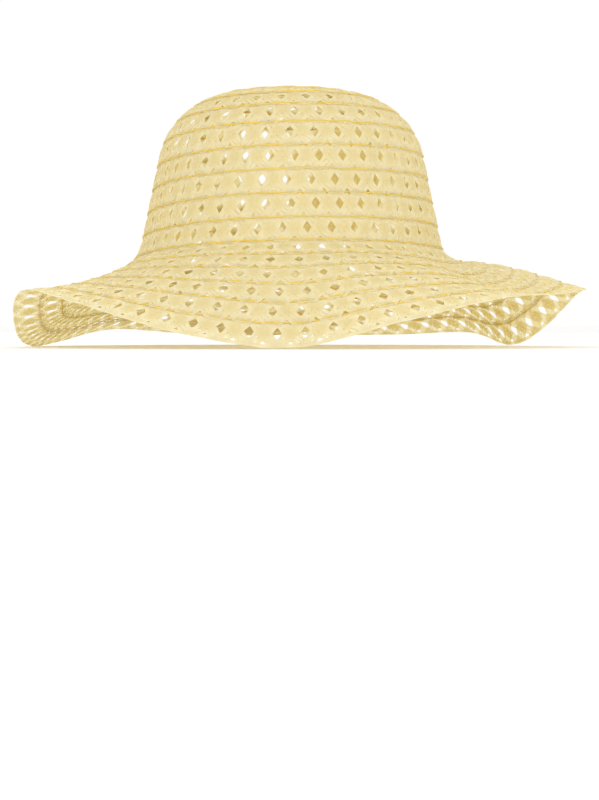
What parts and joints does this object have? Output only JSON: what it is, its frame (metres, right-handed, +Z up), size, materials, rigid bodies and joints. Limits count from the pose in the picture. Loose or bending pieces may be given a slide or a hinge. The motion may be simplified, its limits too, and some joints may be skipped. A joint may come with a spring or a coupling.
{
  "type": "easter bonnet",
  "caption": "Openwork straw braid sun hat with a round crown and a wide wavy brim, standing on its brim.",
  "frame": {"origin": "middle of the hat's bounding box, on the surface that its brim rests on", "axes": "+Z up, the front of the hat faces -Y, the wearer's left is +X"},
  "size_m": [0.3076, 0.3292, 0.1398],
  "materials": {
    "straw_braid": "pale yellow openwork straw braid, sewn in rows with golden thread"
  },
  "bodies": {
    "root": {"crown_tip": "straw_braid", "crown_side": "straw_braid", "brim": "straw_braid"}
  },
  "joints": []
}
